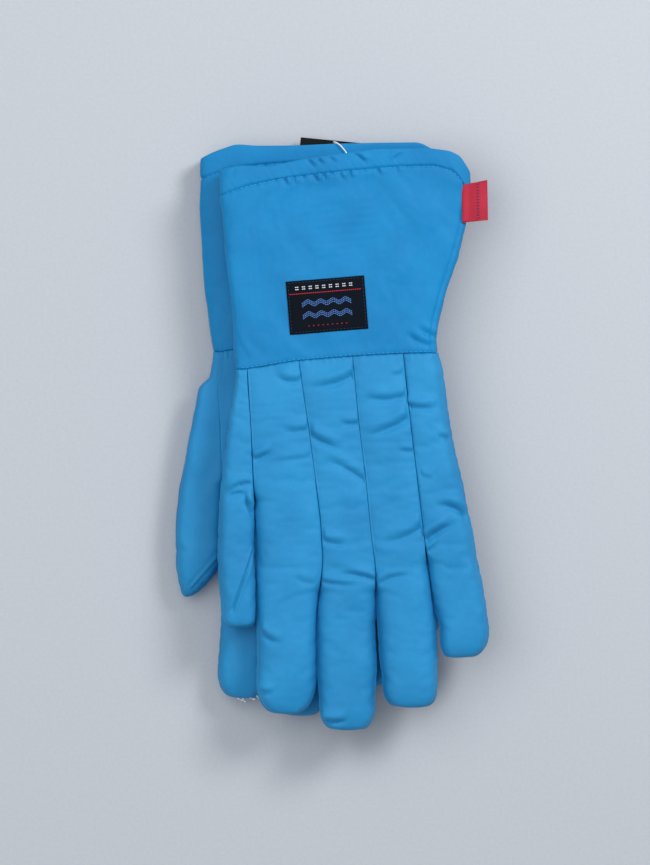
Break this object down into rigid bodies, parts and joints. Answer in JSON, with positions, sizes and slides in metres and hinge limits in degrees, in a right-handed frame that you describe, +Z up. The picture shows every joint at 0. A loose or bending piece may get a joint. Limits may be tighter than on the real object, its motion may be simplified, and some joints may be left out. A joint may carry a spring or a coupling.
{
  "type": "cryogenic gloves",
  "caption": "Pair of padded gauntlet gloves with long flared cuffs, stacked palm to palm, that shield hands and forearms from extreme cold in a laboratory.",
  "frame": {"origin": "centre of the pair's outline, on the surface it lies on", "axes": "+Y from the fingertips to the cuffs, +Z up from the lower glove's back to the upper glove's back, -X towards both thumbs"},
  "size_m": [0.1989, 0.3799, 0.0486],
  "materials": {
    "hand_shell": "fine woven nylon, satin",
    "cuff_shell": "fine woven nylon, satin",
    "batting": "matte fibre batting",
    "lining": "matte brushed knit",
    "woven_label": "damask weave",
    "side_tab": "ribbon weave",
    "tag_card": "smooth printed card",
    "tag_thread": "translucent plastic"
  },
  "bodies": {
    "left_index_finger": {"left_index_finger_shell": "hand_shell", "left_index_finger_insulation": "batting"},
    "left_middle_finger": {"left_middle_finger_shell": "hand_shell", "left_middle_finger_insulation": "batting"},
    "left_ring_finger": {"left_ring_finger_shell": "hand_shell", "left_ring_finger_insulation": "batting"},
    "left_little_finger": {"left_little_finger_shell": "hand_shell", "left_little_finger_insulation": "batting"},
    "left_thumb": {"left_thumb_shell": "hand_shell", "left_thumb_insulation": "batting"},
    "left_glove": {"left_index_back_panel": "hand_shell", "left_middle_back_panel": "hand_shell", "left_ring_back_panel": "hand_shell", "left_little_back_panel": "hand_shell", "left_palm_panel": "hand_shell", "left_thumb_gusset": "hand_shell", "left_hand_back_insulation": "batting", "left_hand_palm_insulation": "batting", "left_hand_lining": "lining", "left_cuff_back_panel": "cuff_shell", "left_cuff_palm_panel": "cuff_shell", "left_cuff_back_insulation": "batting", "left_cuff_palm_insulation": "batting", "left_cuff_lining": "lining", "left_cuff_hem": "cuff_shell", "left_woven_label": "woven_label"},
    "left_tab": {"left_side_tab": "side_tab"},
    "right_index_finger": {"right_index_finger_shell": "hand_shell", "right_index_finger_insulation": "batting"},
    "right_middle_finger": {"right_middle_finger_shell": "hand_shell", "right_middle_finger_insulation": "batting"},
    "right_ring_finger": {"right_ring_finger_shell": "hand_shell", "right_ring_finger_insulation": "batting"},
    "right_little_finger": {"right_little_finger_shell": "hand_shell", "right_little_finger_insulation": "batting"},
    "right_thumb": {"right_thumb_shell": "hand_shell", "right_thumb_insulation": "batting"},
    "right_glove": {"right_index_back_panel": "hand_shell", "right_middle_back_panel": "hand_shell", "right_ring_back_panel": "hand_shell", "right_little_back_panel": "hand_shell", "right_palm_panel": "hand_shell", "right_thumb_gusset": "hand_shell", "right_hand_back_insulation": "batting", "right_hand_palm_insulation": "batting", "right_hand_lining": "lining", "right_cuff_back_panel": "cuff_shell", "right_cuff_palm_panel": "cuff_shell", "right_cuff_back_insulation": "batting", "right_cuff_palm_insulation": "batting", "right_cuff_lining": "lining", "right_cuff_hem": "cuff_shell", "right_woven_label": "woven_label", "tag_fastener": "tag_thread"},
    "right_tab": {"right_side_tab": "side_tab"},
    "tag": {"hang_tag": "tag_card"}
  },
  "joints": [
    {"name": "pair_opening", "type": "hinge", "parent": "right_glove", "child": "left_glove", "pos_m": [0, 0.187, 0.0243], "axis": [-1, 0, 0], "range_deg": [0, 120]},
    {"name": "left_index_finger_lift", "type": "hinge", "parent": "left_glove", "child": "left_index_finger", "pos_m": [-0.029, -0.0852, 0.0486], "axis": [-1, 0, 0], "range_deg": [0, 40]},
    {"name": "left_middle_finger_lift", "type": "hinge", "parent": "left_glove", "child": "left_middle_finger", "pos_m": [0.0094, -0.0852, 0.0486], "axis": [-1, 0, 0], "range_deg": [0, 40]},
    {"name": "left_ring_finger_lift", "type": "hinge", "parent": "left_glove", "child": "left_ring_finger", "pos_m": [0.0448, -0.0852, 0.0486], "axis": [-1, 0, 0], "range_deg": [0, 40]},
    {"name": "left_little_finger_lift", "type": "hinge", "parent": "left_glove", "child": "left_little_finger", "pos_m": [0.0772, -0.0852, 0.0486], "axis": [-0.9806, -0.1961, 0], "range_deg": [0, 40]},
    {"name": "left_thumb_lift", "type": "hinge", "parent": "left_glove", "child": "left_thumb", "pos_m": [-0.0605, -0.0372, 0.0486], "axis": [-1, 0, 0], "range_deg": [0, 35]},
    {"name": "right_index_finger_spread", "type": "hinge", "parent": "right_glove", "child": "right_index_finger", "pos_m": [-0.0698, -0.07436, 0.012], "axis": [0, 0, -1], "range_deg": [0, 5]},
    {"name": "right_middle_finger_spread", "type": "hinge", "parent": "right_glove", "child": "right_middle_finger", "pos_m": [-0.03545, -0.07628, 0.012], "axis": [0, 0, -1], "range_deg": [0, 1.75]},
    {"name": "right_ring_finger_spread", "type": "hinge", "parent": "right_glove", "child": "right_ring_finger", "pos_m": [0.03424, -0.08018, 0.012], "axis": [0, 0, 1], "range_deg": [0, 1.75]},
    {"name": "right_little_finger_spread", "type": "hinge", "parent": "right_glove", "child": "right_little_finger", "pos_m": [0.06569, -0.08194, 0.012], "axis": [0, 0, 1], "range_deg": [0, 5]},
    {"name": "right_thumb_spread", "type": "hinge", "parent": "right_glove", "child": "right_thumb", "pos_m": [-0.09528, -0.02486, 0.012], "axis": [0, 0, -1], "range_deg": [0, 15]},
    {"name": "left_tab_flap", "type": "hinge", "parent": "left_glove", "child": "left_tab", "pos_m": [0.0886, 0.1476, 0.0366], "axis": [0, 1, 0], "range_deg": [-60, 60], "stiffness_Nm_per_rad": 0.001},
    {"name": "right_tab_flap", "type": "hinge", "parent": "right_glove", "child": "right_tab", "pos_m": [0.0747, 0.1509, 0.012], "axis": [-0.0558, 0.9984, 0], "range_deg": [-35, 35], "stiffness_Nm_per_rad": 0.001},
    {"name": "tag_swing", "type": "hinge", "parent": "right_glove", "child": "tag", "pos_m": [0.00197, 0.18446, 0.0074], "axis": [0, 0, 1], "range_deg": [-8, 8]}
  ],
  "couplings": [
    {"joint": "right_middle_finger_spread", "follows": "right_index_finger_spread", "ratio": 0.35},
    {"joint": "right_ring_finger_spread", "follows": "right_index_finger_spread", "ratio": 0.35},
    {"joint": "right_little_finger_spread", "follows": "right_index_finger_spread", "ratio": 1}
  ]
}
